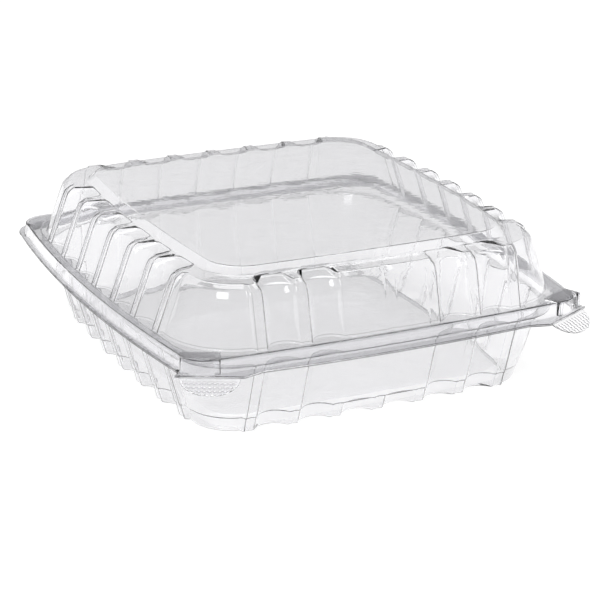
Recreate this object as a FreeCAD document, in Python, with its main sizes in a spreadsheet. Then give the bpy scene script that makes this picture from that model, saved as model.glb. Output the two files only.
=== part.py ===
import FreeCAD, Part
import math
import os

# Clear hinged-lid food pack, closed: a fluted tray and a fluted lid folded together along the back.
# Lengths in millimetres, +Z up, front at -Y, feet on z = 0.

os.makedirs("parts", exist_ok=True)
doc = FreeCAD.newDocument("clamshell_pack")

# Driving sizes
SIZES = [
    ("sheet_thk", 0.42),        # thickness of the formed sheet
    ("flute_pitch", 22.86),     # rib to rib, six flutes on each side
    ("rib_width", 5.4),
    ("rib_dip", 0.7),           # shallow groove along the middle of a rib
    ("bow_x", 3.2),             # how far the left and right walls fall back at the last rib
    ("bow_y", 1.4),             # the same for the front and back walls
    ("corner_step", 2.4),       # the plain corner lies this much behind the last rib
    ("corner_run", 1.3),
    ("corner_bulge", 0.195),    # rise of the corner arc over its chord
    ("foot_half_x", 94.0),      # tray wall, measured on the ribs
    ("foot_half_y", 98.0),
    ("foot_flute", 5.0),
    ("fade_z", 8.0),            # height where the plain front panel starts
    ("fade_half_x", 96.4),
    ("fade_half_y", 100.4),
    ("wall_flute", 5.5),
    ("rim_z", 38.8),            # underside of the tray flange
    ("rim_half_x", 105.8),
    ("rim_half_y", 109.5),
    ("floor_half_x", 86.0),     # raised floor panel, underside
    ("floor_half_y", 90.0),
    ("floor_taper", 2.2),
    ("floor_rise", 4.4),
    ("floor_corner", 18.0),
    ("neck_half_x", 106.9),     # inner flank of the rim bead
    ("neck_half_y", 110.6),
    ("neck_corner", 30.0),
    ("bead_top_z", 45.8),
    ("bead_half_x", 112.8),     # outer flank of the rim bead at the flange
    ("bead_half_y", 114.3),
    ("bead_corner", 16.0),
    ("flank_draft", 1.0),       # how far a rim flank leans in over its height
    ("flange_half_x", 115.3),   # outer edge shared by tray flange and lid lip
    ("flange_front_y", 120.2),
    ("flange_back_y", 119.3),
    ("flange_back_corner", 14.0),
    ("front_end_x", 72.0),      # where the bowed front edge runs into the corner
    ("front_end_y", 117.6),
    ("tab_edge_in_x", 82.5),    # the two ends of the slanted edge at each front corner
    ("tab_edge_in_y", 120.4),
    ("tab_edge_out_x", 111.5),
    ("tab_edge_out_y", 106.6),
    ("side_end_x", 108.0),
    ("side_end_y", 103.5),
    ("lid_gap", 0.3),           # air between lid and tray at the rim
    ("lid_half_x", 108.6),      # lid wall at its foot, on the ribs
    ("lid_half_y", 111.4),
    ("shoulder_low_z", 69.6),
    ("shoulder_low_x", 100.5),
    ("shoulder_low_y", 105.0),
    ("shoulder_mid_z", 73.2),
    ("shoulder_mid_x", 98.9),
    ("shoulder_mid_y", 103.4),
    ("shoulder_mid_flute", 6.4),
    ("shoulder_top_z", 75.4),
    ("shoulder_top_x", 95.6),
    ("shoulder_top_y", 100.1),
    ("shoulder_top_flute", 8.0),
    ("panel_half_x", 82.0),     # raised top panel
    ("panel_half_y", 86.5),
    ("panel_taper", 3.3),
    ("panel_corner", 20.0),
    ("panel_top_z", 79.2),
    ("hinge_y", 119.4),         # fold line
    ("hinge_z", 39.6),
    ("hinge_half", 88.0),
    ("hinge_radius", 0.6),
    ("hinge_gap", 0.4),
    ("tab_width", 29.0),        # drooping finger tab of the tray
    ("tab_reach", 12.5),
    ("tab_root", 0.3),          # how far its root runs in over the flange edge
    ("tab_droop", 25.0),
    ("tab_round", 9.0),
    ("grip_width", 18.0),       # raised grip block of the lid at each front corner
    ("grip_depth", 12.0),
    ("grip_setback", 2.2),      # from the slanted edge
    ("grip_offset", 4.5),       # towards the outer end of that edge
    ("shift_y", 3.6),           # moves the fold line so that the pack is centred on the origin
]

sheet = doc.addObject("Spreadsheet::Sheet", "sizes")
for row, (alias, value) in enumerate(SIZES, start=1):
    sheet.set("A%d" % row, alias)
    sheet.set("B%d" % row, str(value))
    sheet.setAlias("B%d" % row, alias)
doc.recompute()


def size(alias):
    return float(sheet.get(alias))


T = size("sheet_thk")
PITCH = size("flute_pitch")
LAST_RIB = 3 * PITCH
V = FreeCAD.Vector

# Front, right, back and left wall: outward direction, and direction along the wall (anticlockwise)
WALLS = [
    ("front", V(0, -1, 0), V(1, 0, 0)),
    ("right", V(1, 0, 0), V(0, 1, 0)),
    ("back", V(0, 1, 0), V(-1, 0, 0)),
    ("left", V(-1, 0, 0), V(0, -1, 0)),
]


def wall_half(wall, half_x, half_y):
    return half_y if wall in ("front", "back") else half_x


def wall_bow(wall, along):
    bow = size("bow_y") if wall in ("front", "back") else size("bow_x")
    return bow * (along / LAST_RIB) ** 2


def at(wall, along, out, z):
    name, outward, tangent = WALLS[wall]
    return outward * out + tangent * along + V(0, 0, z)


def arc(first, middle, last):
    return Part.Arc(first, middle, last).toShape()


def line(first, last):
    return Part.LineSegment(first, last).toShape()


def add_wire(name, edges):
    feature = doc.addObject("Part::Feature", name)
    feature.Shape = Part.Wire(edges)
    return feature


# Fluted outlines

def flute_depths(wall, depth, panel_depth):
    depths = [depth] * 6
    if wall == "front":
        depths[2] = panel_depth
        depths[3] = panel_depth
    return depths


def fluted_wall(index, z, half, depth, panel_depth, inset):
    """Edges of one wall: seven ribs with six scallops between them."""
    wall = WALLS[index][0]
    half_rib = size("rib_width") / 2 - 0.52 * inset
    edges = []
    previous = None
    depths = flute_depths(wall, depth, panel_depth)
    for k in range(-3, 4):
        middle = k * PITCH
        left, right = middle - half_rib, middle + half_rib
        start = at(index, left, half - inset - wall_bow(wall, left), z)
        dip = at(index, middle, half - inset - size("rib_dip") - wall_bow(wall, middle), z)
        end = at(index, right, half - inset - wall_bow(wall, right), z)
        if previous is not None:
            centre = middle - PITCH / 2
            out = half - inset - depths[k + 2] - wall_bow(wall, centre)
            edges.append(arc(previous, at(index, centre, out, z), start))
        edges.append(arc(start, dip, end))
        previous = end
    return edges


def corner_edges(index, z, half, next_half, inset):
    """Step behind the last rib, the corner arc, and the step up to the next wall."""
    after = (index + 1) % 4
    half_rib = size("rib_width") / 2 - 0.52 * inset
    end = LAST_RIB + half_rib
    out = half - inset - wall_bow(WALLS[index][0], end)
    next_out = next_half - inset - wall_bow(WALLS[after][0], end)
    run, step = size("corner_run"), size("corner_step")
    rib_end = at(index, end, out, z)
    arc_start = at(index, end + run, out - step, z)
    arc_end = at(after, -end - run, next_out - step, z)
    rib_start = at(after, -end, next_out, z)
    chord = arc_end - arc_start
    outward = V(chord.y, -chord.x, 0).normalize()
    middle = (arc_start + arc_end) * 0.5 + outward * (chord.Length * size("corner_bulge"))
    return [line(rib_end, arc_start), arc(arc_start, middle, arc_end), line(arc_end, rib_start)]


def fluted_outline(name, z, half_x, half_y, depth, panel_depth, inset):
    edges = []
    for index in range(4):
        half = wall_half(WALLS[index][0], half_x, half_y)
        next_half = wall_half(WALLS[(index + 1) % 4][0], half_x, half_y)
        edges += fluted_wall(index, z, half, depth, panel_depth, inset)
        edges += corner_edges(index, z, half, next_half, inset)
    return add_wire(name, edges)


# Plain outlines: four slightly bowed sides with round corners

def plain_outline(name, z, half_x, half_y, radius):
    edges = []
    for index in range(4):
        wall = WALLS[index][0]
        after = (index + 1) % 4
        half = wall_half(wall, half_x, half_y)
        next_half = wall_half(WALLS[after][0], half_x, half_y)
        reach = next_half - radius
        next_reach = half - radius
        out = half - wall_bow(wall, reach)
        next_out = next_half - wall_bow(WALLS[after][0], next_reach)
        start = at(index, -reach, out, z)
        end = at(index, reach, out, z)
        following = at(after, -next_reach, next_out, z)
        edges.append(arc(start, at(index, 0, half, z), end))
        chord = following - end
        outward = V(chord.y, -chord.x, 0).normalize()
        middle = (end + following) * 0.5 + outward * (chord.Length * size("corner_bulge"))
        edges.append(arc(end, middle, following))
    return add_wire(name, edges)


def flange_outline(name, z, back_y):
    """Rim edge: bowed front and sides, slanted edges at the front corners, straight back."""
    half, front = size("flange_half_x"), size("flange_front_y")
    radius = size("flange_back_corner")
    back_x = half - wall_bow("right", back_y - radius)
    side_y = back_y - radius
    turn = radius * (1 - math.cos(math.pi / 4))

    def corner(hand):
        names = ("front_end", "tab_edge_in", "tab_edge_out", "side_end")
        return [V(hand * size(n + "_x"), -size(n + "_y"), z) for n in names]

    right, left = corner(1), corner(-1)
    edges = [arc(left[0], V(0, -front, z), right[0])]
    edges += [line(right[i], right[i + 1]) for i in range(3)]
    edges += [
        arc(right[3], V(half, 0, z), V(back_x, side_y, z)),
        arc(V(back_x, side_y, z), V(back_x - turn, back_y - turn, z), V(back_x - radius, back_y, z)),
        line(V(back_x - radius, back_y, z), V(radius - back_x, back_y, z)),
        arc(V(radius - back_x, back_y, z), V(turn - back_x, back_y - turn, z), V(-back_x, side_y, z)),
        arc(V(-back_x, side_y, z), V(-half, 0, z), left[3]),
    ]
    edges += [line(left[i + 1], left[i]) for i in (2, 1, 0)]
    return add_wire(name, edges)


# Solids

def loft(name, outlines):
    body = doc.addObject("Part::Loft", name)
    body.Sections = outlines
    body.Solid = True
    body.Ruled = True
    return body


def tapered_block(name, low_z, low_x, low_y, high_z, lean, radius):
    low = plain_outline(name + "_low", low_z, low_x, low_y, radius)
    high = plain_outline(name + "_high", high_z, low_x - lean, low_y - lean, radius)
    return loft(name, [low, high])


def plate(name, z, back_y):
    outline = flange_outline(name + "_edge", z, back_y)
    body = doc.addObject("Part::Extrusion", name)
    body.Base = outline
    body.DirMode = "Custom"
    body.Dir = V(0, 0, 1)
    body.Solid = True
    body.setExpression("LengthFwd", "sizes.sheet_thk")
    return body


def fuse(name, bodies):
    body = doc.addObject("Part::MultiFuse", name)
    body.Shapes = bodies
    return body


def cut(name, base, tool):
    body = doc.addObject("Part::Cut", name)
    body.Base = base
    body.Tool = tool
    return body


def lobe(name, z):
    """Flat rounded tongue along +X from its root line, as thick as the sheet."""
    root = -size("tab_root")
    half = size("tab_width") / 2
    end, radius = size("tab_reach"), size("tab_round")
    turn = radius * (1 - math.cos(math.pi / 4))
    edges = [
        line(V(root, -half, z), V(end - radius, -half, z)),
        arc(V(end - radius, -half, z), V(end - turn, turn - half, z), V(end, radius - half, z)),
        line(V(end, radius - half, z), V(end, half - radius, z)),
        arc(V(end, half - radius, z), V(end - turn, half - turn, z), V(end - radius, half, z)),
        line(V(end - radius, half, z), V(root, half, z)),
        line(V(root, half, z), V(root, -half, z)),
    ]
    body = doc.addObject("Part::Extrusion", name)
    body.Base = add_wire(name + "_edge", edges)
    body.DirMode = "Custom"
    body.Dir = V(0, 0, 1)
    body.Solid = True
    body.setExpression("LengthFwd", "sizes.sheet_thk")
    return body


def tab_edge_place(hand, z, droop):
    """Middle of the slanted edge, X pointing out of the pack; hand is -1 at the left, +1 at the right."""
    in_x, in_y = size("tab_edge_in_x"), size("tab_edge_in_y")
    out_x, out_y = size("tab_edge_out_x"), size("tab_edge_out_y")
    slant = math.degrees(math.atan2(out_x - in_x, in_y - out_y))
    heading = -slant if hand > 0 else slant - 180
    turn = FreeCAD.Rotation(V(0, 0, 1), heading) * FreeCAD.Rotation(V(0, 1, 0), droop)
    middle = V(hand * (in_x + out_x) / 2, -(in_y + out_y) / 2, z)
    return FreeCAD.Placement(middle, turn)


def grip_block(name, hand, low_z, high_z, inset):
    """Block at a front corner of the lid, its face parallel to the slanted edge."""
    block = doc.addObject("Part::Box", name)
    block.setExpression("Length", "sizes.grip_depth - %g" % inset)
    block.setExpression("Width", "sizes.grip_width - %g" % (2 * inset))
    block.Height = high_z - low_z
    width, depth = size("grip_width"), size("grip_depth")
    offset = hand * size("grip_offset")
    local = V(-size("grip_setback") - depth, offset - width / 2 + inset, 0)
    block.Placement = tab_edge_place(hand, low_z, 0.0) * FreeCAD.Placement(local, FreeCAD.Rotation())
    return block


# Tray

def build_tray():
    rim_z, rise = size("rim_z"), size("floor_rise")
    top_z = size("bead_top_z")

    def wall(name, inset, low_z, high_z):
        foot = fluted_outline(name + "_foot", low_z, size("foot_half_x"), size("foot_half_y"),
                              size("foot_flute"), size("foot_flute"), inset)
        fade = fluted_outline(name + "_fade", size("fade_z"), size("fade_half_x"),
                              size("fade_half_y"), size("wall_flute"), 0.0, inset)
        rim = fluted_outline(name + "_rim", high_z, size("rim_half_x"), size("rim_half_y"),
                             size("wall_flute"), 0.0, inset)
        return loft(name, [foot, fade, rim])

    lean = size("flank_draft")
    bead = tapered_block("tray_bead", rim_z, size("bead_half_x"), size("bead_half_y"),
                         top_z, lean, size("bead_corner"))
    flange = plate("tray_flange", rim_z, size("flange_back_y"))
    rim = fuse("tray_rim_solid", [bead, flange])
    hollow = tapered_block("tray_bead_hollow", rim_z - 0.5, size("bead_half_x") - T + 0.07,
                           size("bead_half_y") - T + 0.07, top_z - T, lean, size("bead_corner"))
    rim_shell = cut("tray_rim_shell", rim, hollow)

    neck = tapered_block("tray_neck", rim_z, size("neck_half_x"), size("neck_half_y"),
                         top_z, -lean, size("neck_corner"))
    cup = wall("tray_wall", 0.0, 0.0, rim_z + T / 2)
    tabs = []
    for hand, side in ((-1, "left"), (1, "right")):
        tab = lobe("tray_tab_" + side, 0.0)
        tab.Placement = tab_edge_place(hand, rim_z, size("tab_droop"))
        tabs.append(tab)
    roll = doc.addObject("Part::Cylinder", "tray_fold_bead")
    roll.setExpression("Radius", "sizes.hinge_radius")
    roll.setExpression("Height", "2 * sizes.hinge_half")
    roll.Placement = FreeCAD.Placement(V(-size("hinge_half"), size("hinge_y"), size("hinge_z")),
                                       FreeCAD.Rotation(V(0, 1, 0), 90))
    outer = fuse("tray_outer", [rim_shell, neck, cup, roll])

    underside = tapered_block("tray_underside", -0.5, size("floor_half_x") + 0.25,
                              size("floor_half_y") + 0.25, rise, size("floor_taper") + 0.25,
                              size("floor_corner"))
    floor = tapered_block("tray_floor", -0.5, size("floor_half_x") + 0.25 + T,
                          size("floor_half_y") + 0.25 + T, rise + T, size("floor_taper") + 0.25,
                          size("floor_corner"))
    space = wall("tray_space", T, T, rim_z + T)
    neck_space = tapered_block("tray_neck_space", rim_z + T / 2, size("neck_half_x") - T,
                               size("neck_half_y") - T, top_z + 1.0, -lean * 8.0 / 7.0,
                               size("neck_corner"))
    cavity = cut("tray_cavity", fuse("tray_inside", [space, neck_space]), floor)
    removed = fuse("tray_removed", [cavity, underside])
    shell = cut("tray_shell", outer, removed)
    return fuse("base_tray", [shell] + tabs)


# Lid

def build_lid():
    lip_z = size("rim_z") + T + size("lid_gap")
    ledge_z = size("bead_top_z") + size("lid_gap")
    lean = size("flank_draft")
    gap = size("lid_gap")

    def wall(name, inset, low_z, drop):
        levels = [
            ("foot", low_z, size("lid_half_x"), size("lid_half_y"), size("wall_flute")),
            ("low", size("shoulder_low_z") - drop * 0.3, size("shoulder_low_x"),
             size("shoulder_low_y"), size("wall_flute")),
            ("mid", size("shoulder_mid_z") - drop * 0.5, size("shoulder_mid_x"),
             size("shoulder_mid_y"), size("shoulder_mid_flute")),
            ("top", size("shoulder_top_z") - drop, size("shoulder_top_x"),
             size("shoulder_top_y"), size("shoulder_top_flute")),
        ]
        outlines = []
        for level, z, half_x, half_y, depth in levels:
            outlines.append(fluted_outline(name + "_" + level, z, half_x, half_y, depth, 0.0, inset))
        return loft(name, outlines)

    def panel(name, inset, low_z, top_z):
        return tapered_block(name, low_z, size("panel_half_x") + size("panel_taper") - inset,
                             size("panel_half_y") + size("panel_taper") - inset,
                             top_z, size("panel_taper"), size("panel_corner"))

    skirt = tapered_block("lid_skirt", lip_z, size("bead_half_x") + gap + T,
                          size("bead_half_y") + gap + T, ledge_z + T, lean, size("bead_corner"))
    lip = plate("lid_lip", lip_z, size("hinge_y") - size("hinge_radius") - size("hinge_gap"))
    grips, grip_spaces = [], []
    for hand, side in ((-1, "left"), (1, "right")):
        grips.append(grip_block("lid_grip_" + side, hand, lip_z, ledge_z + T, 0.0))
        grip_spaces.append(grip_block("lid_grip_space_" + side, hand, lip_z - 0.5, ledge_z, T))
    outer = fuse("lid_outer", [skirt, lip, wall("lid_wall", 0.0, ledge_z + T / 2, 0.0),
                               panel("lid_panel", 0.0, size("shoulder_top_z") - 0.2,
                                     size("panel_top_z"))] + grips)
    under_skirt = tapered_block("lid_under_skirt", lip_z - 0.5, size("bead_half_x") + gap + 0.07,
                                size("bead_half_y") + gap + 0.07, ledge_z, lean + 0.07,
                                size("bead_corner"))
    inside = fuse("lid_inside", [under_skirt, wall("lid_space", T, ledge_z - 0.3, T),
                                 panel("lid_panel_space", T, size("shoulder_top_z") - T - 0.2,
                                       size("panel_top_z") - T)] + grip_spaces)
    return cut("lid", outer, inside)


tray = build_tray()
lid = build_lid()
doc.recompute()

NODES = [("base_tray", tray), ("lid", lid)]
for label, node in NODES:
    node.Label = label
    node.Placement = FreeCAD.Placement(V(0, size("shift_y"), 0), FreeCAD.Rotation())
doc.recompute()

for item in doc.Objects:
    if "Invalid" in item.State or "Error" in item.State:
        raise RuntimeError("broken object: " + item.Name)

for label, node in NODES:
    shape = node.Shape
    if shape.isNull() or not shape.isValid() or len(shape.Solids) != 1:
        raise RuntimeError("bad shape: %s, solids %d" % (label, len(shape.Solids)))
    shape.exportStep("parts/%s.step" % label)
    box = shape.BoundBox
    print("%s x %.2f %.2f y %.2f %.2f z %.2f %.2f volume %.0f faces %d" % (
        label, box.XMin, box.XMax, box.YMin, box.YMax, box.ZMin, box.ZMax,
        shape.Volume, len(shape.Faces)))
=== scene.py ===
import math

import bpy
import numpy as np
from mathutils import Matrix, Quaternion, Vector


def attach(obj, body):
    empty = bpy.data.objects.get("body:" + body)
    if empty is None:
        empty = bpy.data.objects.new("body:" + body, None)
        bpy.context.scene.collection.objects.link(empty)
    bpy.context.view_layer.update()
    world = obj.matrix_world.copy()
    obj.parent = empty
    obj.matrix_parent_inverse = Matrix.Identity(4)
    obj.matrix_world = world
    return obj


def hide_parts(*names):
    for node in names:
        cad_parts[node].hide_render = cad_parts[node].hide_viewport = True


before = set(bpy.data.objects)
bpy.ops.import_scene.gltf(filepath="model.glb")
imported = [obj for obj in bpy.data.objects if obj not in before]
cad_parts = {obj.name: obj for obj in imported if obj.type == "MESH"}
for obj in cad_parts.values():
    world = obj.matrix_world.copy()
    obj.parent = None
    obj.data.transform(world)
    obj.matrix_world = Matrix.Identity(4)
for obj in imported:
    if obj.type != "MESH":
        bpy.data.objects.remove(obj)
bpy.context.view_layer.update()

# Lengths are in millimetres here and become metres when a mesh is made.
# Each sheet is a row of rings from its middle to its edge, and all rings have the same number of points.
MM = 0.001
SHIFT = 3.6
SHEET = 0.42

# Walls: seven ribs on each side with six scallops between them, and sides that bow back towards their ends
PITCH = 22.86
RIB = 5.4
RIB_DIP = 0.7
FLUTES = 6
HALF_FLUTE = (PITCH - RIB) / 2
LAST_RIB = 3 * PITCH
SIDE_END = LAST_RIB + RIB / 2
BOW = {"x": 3.2, "y": 1.4}
FRONT_MIDDLE_FLUTES = (2, 3)
CORNER_RUN, CORNER_STEP = 1.3, 2.4
CORNER_BULGE, BACK_BULGE = 0.195, 0.207

# Front, right, back and left side: outward direction, direction along it, and the axis that it faces
OUTWARD = np.array([(0, -1), (1, 0), (0, 1), (-1, 0)], float)
ALONG = np.array([(1, 0), (0, 1), (-1, 0), (0, -1)], float)
SIDE_AXIS = ["y", "x", "y", "x"]

# Numbers of points along a rib, a flute, a corner, the straight run beside a corner, and arcs
RIB_STEPS, FLUTE_STEPS, CORNER_STEPS = 4, 12, 44
RUN_STEPS, ARC_STEPS, BACK_ARC_STEPS = 8, 40, 24

# Share of a rib that its inner points cover, and how a flute's points crowd towards its edges
RIB_SPREAD = 0.8
FLUTE_CROWDING, FLUTE_SPREAD = 0.86, 0.965

# Outer edge of the rim, with the corners of the slanted edge at its right front corner
FLANGE_X, FLANGE_FRONT, BACK_ROUND = 115.3, 120.2, 14.0
FRONT_END = np.array([72.0, -117.6])
TAB_IN = np.array([82.5, -120.4])
TAB_OUT = np.array([111.5, -106.6])
LIP_END = np.array([108.0, -103.5])
SIDE_STOPS = (-94.0, -84.0, -SIDE_END)

# Heights of the tray's flange and bead, taken on their underside, and of the lid's lip and ledge, on top
FLANGE_Z, BEAD_Z = 38.8, 45.38
LIP_Z, LEDGE_Z = 39.94, 46.52

# Half sizes of the lid's skirt at its foot and top, and corner radii of the rim and the bead's inner flank
SKIRT_FOOT, SKIRT_TOP = (113.52, 115.02), (112.52, 114.02)
RIM_CORNER, NECK_CORNER = 16, 30

# A bend takes at most this share of a span. A ring just inside the edge keeps the flat rim's shading even.
MOST_ROUNDING = 0.48
EDGE_SUPPORT = 0.25

# Tray's finger tab: half width, reach, droop in degrees, and the diamond pattern with its margins
TAB_HALF, TAB_REACH, TAB_DROOP = 14.0, 10.8, 25.0
TAB_ROWS, TAB_COLUMNS = 45, 97
KNURL, KNURL_PITCH = 0.42, 2.4
KNURL_ROOT, KNURL_EDGE, KNURL_FADE = 1.2, 0.6, 0.8

# Lid's grip block: size, place on the slanted edge, ridges on its top, and its side walls
GRIP_WIDTH, GRIP_DEPTH, GRIP_BACK, GRIP_OFFSET = 18.0, 9.0, 2.2, 4.5
GRIP_RISE, GRIP_ROWS, GRIP_COLUMNS, GRIP_FACE_ROWS = 0.55, 32, 71, 6
RIDGE, RIDGE_PERIOD, RIDGE_SLANT, RIDGE_FADE = 0.3, 1.9, 0.7, 1.2
WALL_DEPTH, WALL_CLEARANCE, HIDDEN_DROP = 1.6, 0.5, 0.2
SKIRT_CORNER_DEPTH = 30

# Fold along the back
FOLD_Y, FOLD_Z, FOLD_RADIUS, FOLD_HALF = 119.4, 39.6, 0.58, 88.0
FOLD_SIDES, FOLD_SPANS = 12, 24


# Points along the sides

def bow(side, s):
    """How far a side lies back at place s along it."""
    return BOW[SIDE_AXIS[side]] * (s / LAST_RIB) ** 2


def pick(side, half_x, half_y):
    return half_y if SIDE_AXIS[side] == "y" else half_x


def on_side(side, s, out):
    """Points at places s along a side, out from the middle."""
    s, out = np.broadcast_arrays(np.asarray(s, float), np.asarray(out, float))
    return out[:, None] * OUTWARD[side] + s[:, None] * ALONG[side]


def side_template():
    """Places of a side's points, the flute of each, its share of a rib's dip, and whether it edges a rib."""
    s, flute, dip, crest = [], [], [], []
    inner = np.linspace(-RIB_SPREAD, RIB_SPREAD, RIB_STEPS + 1)
    crowded = np.linspace(-FLUTE_CROWDING, FLUTE_CROWDING, FLUTE_STEPS + 1)
    across = np.sin(crowded * math.pi / 2) * FLUTE_SPREAD
    for k in range(-3, 4):
        s.append(np.concatenate([[k * PITCH - RIB / 2], k * PITCH + inner * RIB / 2, [k * PITCH + RIB / 2]]))
        dip.append(np.concatenate([[0], 1 - inner ** 2, [0]]))
        flute.append(np.full(len(inner) + 2, -1))
        crest.append(np.array([True] + [False] * len(inner) + [True]))
        if k < 3:
            s.append((k + 0.5) * PITCH + across * HALF_FLUTE)
            dip.append(np.zeros(len(across)))
            flute.append(np.full(len(across), k + 3))
            crest.append(np.zeros(len(across), bool))
    return (np.concatenate(part) for part in (s, flute, dip, crest))


S, FLUTE, DIP, CREST = side_template()


def scallop(s, k, depth, slot):
    """Depth of the scallop in flute k at places s: a round one, or a slot with straight sides."""
    if depth <= 0.01:
        return np.zeros(len(s))
    away = s - (k - 3 + 0.5) * PITCH
    if slot:
        return depth * (1 - (np.abs(away) / HALF_FLUTE) ** 6) ** (1 / 3)
    radius = (HALF_FLUTE ** 2 + depth ** 2) / (2 * depth)
    return np.sqrt(radius ** 2 - away ** 2) - (radius - depth)


def resample(points, count):
    """Points spread evenly along a polyline, without its two ends."""
    points = np.array(points, float)
    steps = np.concatenate([[0], np.cumsum(np.linalg.norm(np.diff(points, axis=0), axis=1))])
    want = np.linspace(0, steps[-1], count + 2)[1:-1]
    return np.stack([np.interp(want, steps, points[:, i]) for i in range(2)], axis=1)


def arc_points(start, end, bulge, count):
    """Points on an arc; bulge is its rise as a share of the chord."""
    chord = end - start
    length = np.linalg.norm(chord)
    outward = np.array([chord[1], -chord[0]]) / length
    rise = bulge * length
    radius = (length ** 2 / 4 + rise ** 2) / (2 * rise)
    centre = (start + end) / 2 + outward * (rise - radius)
    first = math.atan2(*(start - centre)[::-1])
    last = math.atan2(*(end - centre)[::-1])
    turn = (last - first + math.pi) % (2 * math.pi) - math.pi
    angles = first + turn * np.linspace(0, 1, count)
    return centre + radius * np.stack([np.cos(angles), np.sin(angles)], axis=1)


# Rings

def flat_ring(points, z):
    points = np.concatenate(points)
    return np.column_stack([points[:, 0], points[:, 1] + SHIFT, np.full(len(points), z)])


def fluted_side(side, half, depths, slot):
    cutback = RIB_DIP * DIP
    for k in range(FLUTES):
        here = FLUTE == k
        cutback[here] = scallop(S[here], k, depths[k], slot)
    return on_side(side, S, half - bow(side, S) - cutback)


def soften(wall):
    """The wall with the two edges of each rib rounded a little."""
    soft = wall.copy()
    for i in np.nonzero(CREST)[0]:
        if 0 < i < len(S) - 1:
            soft[i] = 0.25 * wall[i - 1] + 0.5 * wall[i] + 0.25 * wall[i + 1]
    return soft


def fluted_corner(side, wall_end, half, next_half):
    """Step behind the last rib, the corner's arc, and the step up to the next side."""
    after = (side + 1) % 4
    start = on_side(side, [SIDE_END + CORNER_RUN], [half - bow(side, SIDE_END) - CORNER_STEP])[0]
    end = on_side(after, [-SIDE_END - CORNER_RUN], [next_half - bow(after, SIDE_END) - CORNER_STEP])[0]
    next_wall = on_side(after, [-SIDE_END], [next_half - bow(after, SIDE_END)])[0]
    arc = arc_points(start, end, CORNER_BULGE, CORNER_STEPS - 2)
    return np.concatenate([[(wall_end + arc[0]) / 2], arc, [(arc[-1] + next_wall) / 2]])


def fluted(z, half_x, half_y, depth, front_middle=None, slot=False):
    """Ring along ribs and scallops; front_middle is the depth of the two middle flutes of the front."""
    parts = []
    for side in range(4):
        half = pick(side, half_x, half_y)
        next_half = pick((side + 1) % 4, half_x, half_y)
        depths = [depth] * FLUTES
        if side == 0 and front_middle is not None:
            for k in FRONT_MIDDLE_FLUTES:
                depths[k] = front_middle
        wall = fluted_side(side, half, depths, slot)
        parts.append(soften(wall))
        parts.append(fluted_corner(side, wall[-1], half, next_half))
    return flat_ring(parts, z)


def side_end(side, half_x, half_y, radius):
    """Where the points of a side stop: at the last rib, or before it where the corner starts sooner."""
    return min(SIDE_END, pick((side + 1) % 4, half_x, half_y) - radius - 1.0)


def corner_path(side, half_x, half_y, radius):
    """Rest of a side after its last point, the round corner, and the start of the next side."""
    after = (side + 1) % 4
    half, next_half = pick(side, half_x, half_y), pick(after, half_x, half_y)
    run = np.linspace(side_end(side, half_x, half_y, radius), next_half - radius, RUN_STEPS)
    back = np.linspace(radius - half, -side_end(after, half_x, half_y, radius), RUN_STEPS)
    first = on_side(side, run, half - bow(side, run))
    last = on_side(after, back, next_half - bow(after, back))
    return np.concatenate([first, arc_points(first[-1], last[0], CORNER_BULGE, ARC_STEPS)[1:-1], last])


def plain(z, half_x, half_y, radius):
    """Ring of four slightly bowed sides with round corners."""
    parts = []
    for side in range(4):
        half = pick(side, half_x, half_y)
        s = S * side_end(side, half_x, half_y, radius) / SIDE_END
        parts.append(on_side(side, s, half - bow(side, s)))
        parts.append(resample(corner_path(side, half_x, half_y, radius), CORNER_STEPS))
    return flat_ring(parts, z)


def corner_resample(points, count):
    """Spreads points along the corner's edge and puts the nearest ones on its corners."""
    spread = resample(points, count)
    for corner in points[1:-1]:
        spread[np.argmin(np.linalg.norm(spread - corner, axis=1))] = corner
    return spread


def right_edge(y):
    return FLANGE_X - bow(1, y)


def back_corner_points(back_y):
    y = np.linspace(SIDE_END, back_y - BACK_ROUND, RUN_STEPS)
    run = np.column_stack([right_edge(y), y])
    arc_end = np.array([run[-1][0] - BACK_ROUND, back_y])
    arc = arc_points(run[-1], arc_end, BACK_BULGE, BACK_ARC_STEPS)
    return resample(np.concatenate([run, arc[1:], [[SIDE_END, back_y]]]), CORNER_STEPS)


def flange(z, back_y):
    """Rim edge: bowed front and sides, a slanted edge at each front corner, straight back."""
    front_bow = FLANGE_FRONT + FRONT_END[1]
    front = FLANGE_FRONT - front_bow * (S / FRONT_END[0]) ** 2
    corner = [np.array([S[-1], -front[-1]]), FRONT_END, TAB_IN, TAB_OUT, LIP_END]
    corner += [np.array([right_edge(y), y]) for y in SIDE_STOPS]
    front_corner = corner_resample(corner, CORNER_STEPS)
    back_corner = back_corner_points(back_y)
    mirror = np.array([-1, 1])
    parts = [
        on_side(0, S, front),
        front_corner,
        on_side(1, S, right_edge(S)),
        back_corner,
        on_side(2, S, back_y),
        back_corner[::-1] * mirror,
        on_side(3, S, right_edge(S)),
        front_corner[::-1] * mirror,
    ]
    return flat_ring(parts, z)


# Lofting with rounded bends

def loft(stations, steps=5):
    """Rings through the stations; each station is (ring, rounding in mm)."""
    rings = [stations[0][0]]
    for i in range(1, len(stations) - 1):
        ring, radius = stations[i]
        back, on = stations[i - 1][0] - ring, stations[i + 1][0] - ring
        back_len = np.linalg.norm(back, axis=1, keepdims=True) + 1e-9
        on_len = np.linalg.norm(on, axis=1, keepdims=True) + 1e-9
        start = ring + back * np.minimum(radius / back_len, MOST_ROUNDING)
        end = ring + on * np.minimum(radius / on_len, MOST_ROUNDING)
        for t in np.linspace(0, 1, steps):
            rings.append((1 - t) ** 2 * start + 2 * t * (1 - t) * ring + t ** 2 * end)
    edge, before = stations[-1][0], rings[-1]
    inward = (before - edge) / np.linalg.norm(before - edge, axis=1, keepdims=True)
    rings += [edge + inward * EDGE_SUPPORT, edge]
    return rings


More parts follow.
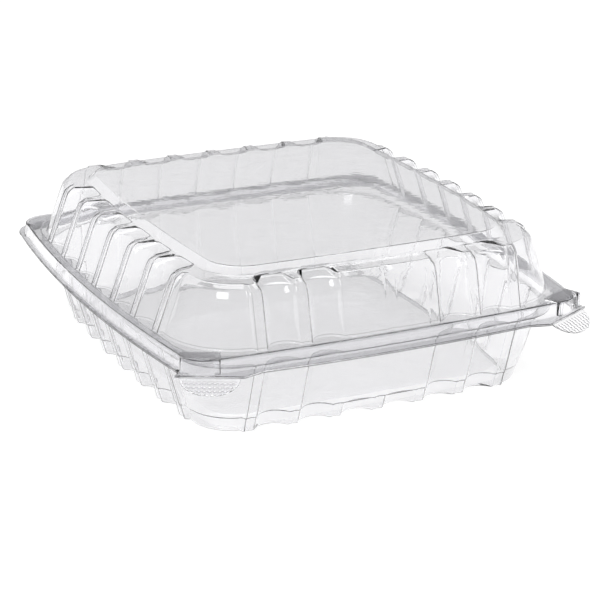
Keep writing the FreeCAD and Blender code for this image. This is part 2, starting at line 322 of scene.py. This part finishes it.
def split(rings, most=9.0):
    """Adds rings where two neighbours lie far apart, so that long walls have even faces."""
    out = [rings[0]]
    for a, b in zip(rings, rings[1:]):
        parts = max(1, int(np.median(np.linalg.norm(b - a, axis=1)) / most))
        for j in range(1, parts + 1):
            out.append(a + (b - a) * j / parts)
    return out


def ring_faces(rings, upward):
    count = len(rings[0])
    faces = []
    for r in range(len(rings) - 1):
        for i in range(count):
            j = (i + 1) % count
            quad = (r * count + i, (r + 1) * count + i, (r + 1) * count + j, r * count + j)
            faces.append(quad if upward else quad[::-1])
    return faces


def cap_rings(ring, shares=(0.03, 0.25, 0.5, 0.75, 0.93)):
    """Smaller copies of a flat ring that fill it towards its middle."""
    centre = np.array([0, SHIFT, ring[0][2]])
    return [centre + (ring - centre) * share for share in shares]


def sheet_rings(stations):
    """All rings of a sheet, from the middle of its panel, which is the first station, to its edge."""
    middle = cap_rings(stations[0][0])
    return middle[:-1] + split(loft([(middle[-1], 0)] + stations))


def shell(rings, upward):
    """Points and faces of the rings, closed in the middle by a fan."""
    count = len(rings[0])
    faces = ring_faces(rings, upward)
    middle = len(rings) * count
    centre = rings[0].mean(axis=0)
    for i in range(count):
        spoke = (i, (i + 1) % count, middle)
        faces.append(spoke if upward else spoke[::-1])
    return np.concatenate(rings + [centre[None, :]]), faces


# Stations of the sheets, from the middle outwards.
# plain: height, two half sizes, corner radius. fluted: height, two half sizes, depths of the flutes.

TRAY_STATIONS = [
    (plain(4.4, 83.8, 87.8, 18), 1.2),
    (plain(0.0, 86.0, 90.0, 18), 0.6),
    (fluted(0.0, 94.0, 98.0, 5.0), 1.2),
    (fluted(7.6, 96.1, 100.1, 5.4, 2.0), 0.3),
    (fluted(8.1, 96.8, 100.8, 5.0, 0.0), 0.3),
    (fluted(FLANGE_Z, 105.8, 109.5, 5.5, 0.0), 0.35),
    (plain(FLANGE_Z, 106.9, 110.6, NECK_CORNER), 0.35),
    (plain(BEAD_Z, 107.84, 111.54, NECK_CORNER), 0.5),
    (plain(BEAD_Z, 111.5, 113.0, RIM_CORNER), 0.5),
    (plain(FLANGE_Z, 112.45, 113.95, RIM_CORNER), 0.5),
    (flange(FLANGE_Z, 119.3), 0),
]
LID_STATIONS = [
    (plain(79.2, 82.0, 86.5, 20), 0.6),
    (plain(75.4, 85.135, 89.635, 20), 0.9),
    (fluted(75.4, 95.6, 100.1, 10.3, 0.0, slot=True), 0.5),
    (fluted(74.5, 97.0, 101.5, 11.2, 0.0, slot=True), 0.5),
    (fluted(73.2, 98.9, 103.4, 6.4, 0.0), 1.2),
    (fluted(69.6, 100.5, 105.0, 5.5, 0.0), 1.5),
    (fluted(LEDGE_Z, 108.6, 111.4, 5.5, 0.0), 0.4),
    (plain(LEDGE_Z, *SKIRT_TOP, RIM_CORNER), 0.45),
    (plain(LIP_Z, *SKIRT_FOOT, RIM_CORNER), 0.5),
    (flange(LIP_Z, 118.4), 0),
]


# Tabs and grips at the slanted edges; hand is -1 at the left and 1 at the right

def tab_axes():
    """Middle of the right slanted edge, the way out of the pack, and the way along the edge."""
    edge = (TAB_OUT - TAB_IN) / np.linalg.norm(TAB_OUT - TAB_IN)
    return (TAB_IN + TAB_OUT) / 2, np.array([edge[1], -edge[0]]), edge


def grid_faces(rows, columns, flip):
    faces = []
    for i in range(rows - 1):
        for j in range(columns - 1):
            a = i * columns + j
            quad = (a, a + columns, a + columns + 1, a + 1)
            faces.append(quad[::-1] if flip else quad)
    return faces


def knurl_height(out, side, half):
    """Height of the diamond pattern, which fades out at the border of the tab."""
    root = (out - KNURL_ROOT) / KNURL_FADE
    flank = (half - abs(side) - KNURL_EDGE) / KNURL_FADE
    tip = (TAB_REACH - out - KNURL_EDGE) / KNURL_FADE
    wave = math.cos(math.pi * (out + side) / KNURL_PITCH)
    wave *= math.cos(math.pi * (out - side) / KNURL_PITCH)
    return KNURL * wave * min(1.0, max(0.0, min(root, flank, tip)))


def lobe(hand):
    """Drooping rounded finger tab of the tray, with a raised diamond pattern on its under face."""
    middle, out_dir, edge_dir = tab_axes()
    turn = math.radians(TAB_DROOP)
    placed = []
    outs = np.sin(np.linspace(-0.03, 1, TAB_ROWS) * math.pi / 2) * TAB_REACH
    for out in outs:
        half = TAB_HALF * math.sqrt(max(1 - (out / TAB_REACH) ** 2, 0.0002))
        for side in np.linspace(-half, half, TAB_COLUMNS):
            up = knurl_height(out, side, half)
            flat = out * math.cos(turn) - up * math.sin(turn)
            drop = -out * math.sin(turn) - up * math.cos(turn)
            xy = middle + out_dir * flat + edge_dir * side
            placed.append((hand * xy[0], xy[1] + SHIFT, FLANGE_Z + drop))
    return placed, grid_faces(len(outs), TAB_COLUMNS, hand < 0)


def skirt_reach(along_edge, z, half_x, half_y):
    """How far out the lid's skirt lies, measured square to the slanted edge, at places along that edge."""
    middle, out_dir, edge_dir = tab_axes()
    from_middle = plain(z, half_x, half_y, RIM_CORNER)[:, :2] - np.array([0, SHIFT]) - middle
    along, out = from_middle @ edge_dir, from_middle @ out_dir
    near = out > -SKIRT_CORNER_DEPTH
    order = np.argsort(along[near])
    return np.interp(along_edge, along[near][order], out[near][order])


def grip_profile():
    """Places (out, height) across the block, from its back over the top and down its face."""
    back = -GRIP_DEPTH - GRIP_BACK
    profile = [(back + d, LEDGE_Z) for d in np.linspace(0, GRIP_DEPTH - 0.7, GRIP_ROWS)]
    profile += [(-GRIP_BACK - 0.3, LEDGE_Z + 0.4), (-GRIP_BACK, LEDGE_Z - 0.2)]
    return profile + [(-GRIP_BACK, z) for z in np.linspace(LEDGE_Z - 1.5, LIP_Z, GRIP_FACE_ROWS)]


def ridge_rise(row, out, side):
    """Rise of the block's top over the ledge; its ridges fade out at the edges."""
    inner = max(0.0, (GRIP_WIDTH / 2 - abs(side)) / RIDGE_FADE)
    share = min(1.0, row / 3, (GRIP_ROWS - row) / 3, inner)
    return GRIP_RISE + RIDGE * share * math.sin(2 * math.pi * (side + RIDGE_SLANT * out) / RIDGE_PERIOD)


def grip(hand):
    """Raised grip block of the lid: slanted ridges on its top, smooth face below, short side walls.

    Face and walls go down only where they stand outside the lid's skirt, clear of the tray's bead.
    """
    middle, out_dir, edge_dir = tab_axes()
    half = GRIP_WIDTH / 2
    profile = grip_profile()
    top = np.linspace(-half + 0.15, half - 0.15, GRIP_COLUMNS)
    across = np.concatenate([[-half, -half], top, [half, half]])
    skirt_foot = skirt_reach(across + GRIP_OFFSET, LIP_Z, *SKIRT_FOOT)
    skirt_top = skirt_reach(across + GRIP_OFFSET, LEDGE_Z, *SKIRT_TOP)
    placed = []
    for row, (out, z) in enumerate(profile):
        for column, side in enumerate(across):
            wall = column in (0, len(across) - 1)
            rise = ridge_rise(row, out, side) if row < GRIP_ROWS else 0.0
            if wall and row < GRIP_ROWS:
                stands_outside = out > skirt_top[column] + WALL_CLEARANCE
                rise = LIP_Z - LEDGE_Z if stands_outside else -HIDDEN_DROP
            if row > GRIP_ROWS and skirt_foot[column] > -GRIP_BACK - 0.1:
                rise = LEDGE_Z - HIDDEN_DROP - 0.02 * (row - GRIP_ROWS) - z
            pull = WALL_DEPTH if wall and row >= GRIP_ROWS else 0.0
            xy = middle + out_dir * (out - pull) + edge_dir * (side + GRIP_OFFSET)
            placed.append((hand * xy[0], xy[1] + SHIFT, z + rise))
    return placed, grid_faces(len(profile), len(across), hand > 0)


def fold_roll():
    """Thin round bead along the fold."""
    points, faces = [], []
    for i in range(FOLD_SPANS + 1):
        x = -FOLD_HALF + 2 * FOLD_HALF * i / FOLD_SPANS
        for j in range(FOLD_SIDES):
            angle = 2 * math.pi * j / FOLD_SIDES
            y = FOLD_Y + SHIFT + FOLD_RADIUS * math.cos(angle)
            points.append((x, y, FOLD_Z + FOLD_RADIUS * math.sin(angle)))
    for i in range(FOLD_SPANS):
        start, following = i * FOLD_SIDES, (i + 1) * FOLD_SIDES
        for j in range(FOLD_SIDES):
            k = (j + 1) % FOLD_SIDES
            faces.append((start + j, start + k, following + k, following + j))
    faces.append(tuple(range(FOLD_SIDES))[::-1])
    faces.append(tuple(FOLD_SPANS * FOLD_SIDES + j for j in range(FOLD_SIDES)))
    return points, faces


# Pieces

def make_mesh(name, parts):
    """One object from a list of (points in mm, faces)."""
    points, faces = [], []
    for pts, quads in parts:
        start = len(points)
        points.extend(pts)
        faces.extend(tuple(i + start for i in quad) for quad in quads)
    mesh = bpy.data.meshes.new(name)
    mesh.from_pydata([tuple(np.array(p) * MM) for p in points], [], faces)
    mesh.validate()
    for face in mesh.polygons:
        face.use_smooth = True
    piece = bpy.data.objects.new(name, mesh)
    bpy.context.scene.collection.objects.link(piece)
    return piece


def build_piece(name, node, body, stations, upward, extras):
    points, faces = shell(sheet_rings(stations), upward)
    piece = make_mesh(name, [(points, faces)] + extras)
    solid = piece.modifiers.new("sheet", "SOLIDIFY")
    solid.thickness = SHEET * MM
    solid.offset = -1
    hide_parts(node)
    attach(piece, body)
    return piece


tray = build_piece("tray_sheet", "base_tray", "base", TRAY_STATIONS, False, [lobe(-1), lobe(1), fold_roll()])
lid = build_piece("lid_sheet", "lid", "lid", LID_STATIONS, True, [grip(-1), grip(1)])


# Materials

def noise(nodes, links, place, scale):
    texture = nodes.new("ShaderNodeTexNoise")
    texture.inputs["Scale"].default_value = scale
    texture.inputs["Detail"].default_value = 2.0
    links.new(place, texture.inputs["Vector"])
    return texture.outputs["Fac"]


def painted_shade_band(nodes, links, height, level, reach):
    """Mask of one band of painted shade: one where the height is within reach of the level, both given in
    mm, else zero.
    """
    band = nodes.new("ShaderNodeMath")
    band.operation = "COMPARE"
    band.inputs[1].default_value = level * MM
    band.inputs[2].default_value = reach * MM
    links.new(height, band.inputs[0])
    return band.outputs["Value"]


def tint_with_painted_shade(nodes, links, place, cloud, tint, painted_shade_bands):
    """Tint that varies slightly from place to place, with painted shade that darkens it in each band of
    heights.
    """
    colour = nodes.new("ShaderNodeMix")
    colour.data_type = "RGBA"
    colour.inputs["A"].default_value = (tint[0] - 0.02, tint[1] - 0.02, tint[2] - 0.018, 1)
    colour.inputs["B"].default_value = (*tint, 1)
    links.new(cloud, colour.inputs["Factor"])
    axes = nodes.new("ShaderNodeSeparateXYZ")
    links.new(place, axes.inputs["Vector"])
    result = colour.outputs["Result"]
    for level, reach, tone in painted_shade_bands:
        # Painted shade: within this band's heights the colour is darkened to the band's shade
        painted_shade = nodes.new("ShaderNodeMix")
        painted_shade.data_type = "RGBA"
        painted_shade.inputs["B"].default_value = (tone, tone, tone + 0.01, 1)
        links.new(painted_shade_band(nodes, links, axes.outputs["Z"], level, reach), painted_shade.inputs["Factor"])
        links.new(result, painted_shade.inputs["A"])
        result = painted_shade.outputs["Result"]
    return result


def polish(nodes, links, cloud):
    """Roughness that varies a little under the gloss."""
    rough = nodes.new("ShaderNodeMapRange")
    rough.inputs["To Min"].default_value = 0.0
    rough.inputs["To Max"].default_value = 0.05
    links.new(cloud, rough.inputs["Value"])
    return rough.outputs["Result"]


def forming_waves(nodes, links, place):
    """Faint upright waves, as forming leaves them in a thin sheet."""
    stretch = nodes.new("ShaderNodeMapping")
    stretch.inputs["Scale"].default_value = (1.0, 1.0, 0.08)
    links.new(place, stretch.inputs["Vector"])
    bump = nodes.new("ShaderNodeBump")
    bump.inputs["Strength"].default_value = 0.25
    bump.inputs["Distance"].default_value = 0.0006
    links.new(noise(nodes, links, stretch.outputs["Vector"], 90.0), bump.inputs["Height"])
    return bump.outputs["Normal"]


def clear_sheet(name, tint, painted_shade_bands):
    """Clear moulded plastic: faint waviness, slight variation of tone, and painted shade that darkens it at
    the given heights.
    """
    material = bpy.data.materials.new(name)
    material.use_nodes = True
    nodes, links = material.node_tree.nodes, material.node_tree.links
    shader = nodes["Principled BSDF"]
    shader.inputs["IOR"].default_value = 1.5
    shader.inputs["Transmission Weight"].default_value = 1.0
    place = nodes.new("ShaderNodeTexCoord").outputs["Object"]
    cloud = noise(nodes, links, place, 18.0)
    links.new(tint_with_painted_shade(nodes, links, place, cloud, tint, painted_shade_bands), shader.inputs["Base Color"])
    links.new(polish(nodes, links, cloud), shader.inputs["Roughness"])
    links.new(forming_waves(nodes, links, place), shader.inputs["Normal"])
    return material


# Painted shade as (height, reach, shade): on the ledge, the lip, and on the lid also the tops of the grips'
# ridges
TRAY_PAINTED_SHADE = ((45.17, 0.34, 0.87), (39.0, 0.4, 0.9))
LID_PAINTED_SHADE = ((46.3, 0.34, 0.87), (39.73, 0.4, 0.9), (47.33, 0.2, 0.75))
CLEAR_TINT = (0.976, 0.975, 0.982)
tray.data.materials.append(clear_sheet("clear_tray", CLEAR_TINT, TRAY_PAINTED_SHADE))
lid.data.materials.append(clear_sheet("clear_lid", CLEAR_TINT, LID_PAINTED_SHADE))


# Floor, light and camera, in metres

def pale_floor():
    """Plain floor with a pale glow of its own, so that it is evenly white through the clear sheet."""
    half, level = 6, -0.0005
    corners = [(-half, -half, level), (half, -half, level), (half, half, level), (-half, half, level)]
    mesh = bpy.data.meshes.new("floor")
    mesh.from_pydata(corners, [], [(0, 1, 2, 3)])
    paper = bpy.data.materials.new("pale_floor")
    paper.use_nodes = True
    shader = paper.node_tree.nodes["Principled BSDF"]
    shader.inputs["Base Color"].default_value = (0.35, 0.35, 0.35, 1)
    shader.inputs["Roughness"].default_value = 0.9
    shader.inputs["Emission Color"].default_value = (1, 1, 1, 1)
    shader.inputs["Emission Strength"].default_value = 0.89
    mesh.materials.append(paper)
    ground = bpy.data.objects.new("floor", mesh)
    bpy.context.scene.collection.objects.link(ground)
    return ground


def studio_sky():
    """Dim grey surroundings, a little lighter towards the back, which draw the grey lines in the sheet."""
    world = bpy.data.worlds.new("studio")
    world.use_nodes = True
    nodes, links = world.node_tree.nodes, world.node_tree.links
    direction = nodes.new("ShaderNodeTexCoord")
    axes = nodes.new("ShaderNodeSeparateXYZ")
    links.new(direction.outputs["Generated"], axes.inputs["Vector"])
    depth = nodes.new("ShaderNodeMapRange")
    depth.inputs["From Min"].default_value = -1.0
    depth.inputs["From Max"].default_value = 1.0
    links.new(axes.outputs["Y"], depth.inputs["Value"])
    fade = nodes.new("ShaderNodeValToRGB")
    front, back = fade.color_ramp.elements
    front.position, front.color = 0.15, (0.2, 0.2, 0.205, 1)
    back.position, back.color = 0.6, (0.27, 0.27, 0.275, 1)
    links.new(depth.outputs["Result"], fade.inputs["Fac"])
    links.new(fade.outputs["Color"], nodes["Background"].inputs["Color"])
    nodes["Background"].inputs["Strength"].default_value = 1.0
    return world


def soft_light(name, place, target, size, watts):
    light = bpy.data.lights.new(name, "AREA")
    light.shape = "SQUARE"
    light.size = size
    light.energy = watts
    lamp = bpy.data.objects.new(name, light)
    lamp.location = place
    lamp.rotation_mode = "QUATERNION"
    lamp.rotation_quaternion = (Vector(target) - Vector(place)).to_track_quat("-Z", "Y")
    bpy.context.scene.collection.objects.link(lamp)


def photo_camera(target, azimuth, elevation, roll, distance, lens):
    """Camera at the photograph's angle; angles in degrees, azimuth 0 at the front."""
    az, el = math.radians(azimuth), math.radians(elevation)
    back = Vector((math.sin(az) * math.cos(el), -math.cos(az) * math.cos(el), math.sin(el)))
    data = bpy.data.cameras.new("camera")
    data.lens = lens
    data.sensor_width = 36
    camera = bpy.data.objects.new("camera", data)
    camera.location = target + back * distance
    camera.rotation_mode = "QUATERNION"
    level = (-back).to_track_quat("-Z", "Y")
    camera.rotation_quaternion = level @ Quaternion((0, 0, 1), math.radians(roll))
    bpy.context.scene.collection.objects.link(camera)
    return camera


floor = pale_floor()

# Light passes many thin layers of sheet, so it needs many bounces.
scene = bpy.context.scene
scene.view_settings.view_transform = "Standard"
scene.cycles.max_bounces = 40
scene.cycles.transmission_bounces = 40
scene.cycles.transparent_max_bounces = 40
scene.cycles.glossy_bounces = 12
scene.world = studio_sky()
soft_light("overhead", (0.1, 0.2, 1.2), (0, 0, 0.05), 0.9, 6)
soft_light("front_left", (-0.9, -0.9, 0.7), (0, 0, 0.05), 0.5, 4)
CAMERA_TARGET = Vector((-2.2, -17.3 + SHIFT, 29.0)) * MM
scene.camera = photo_camera(CAMERA_TARGET, -27.24, 20.88, 1.43, 1.1532, 135.45)
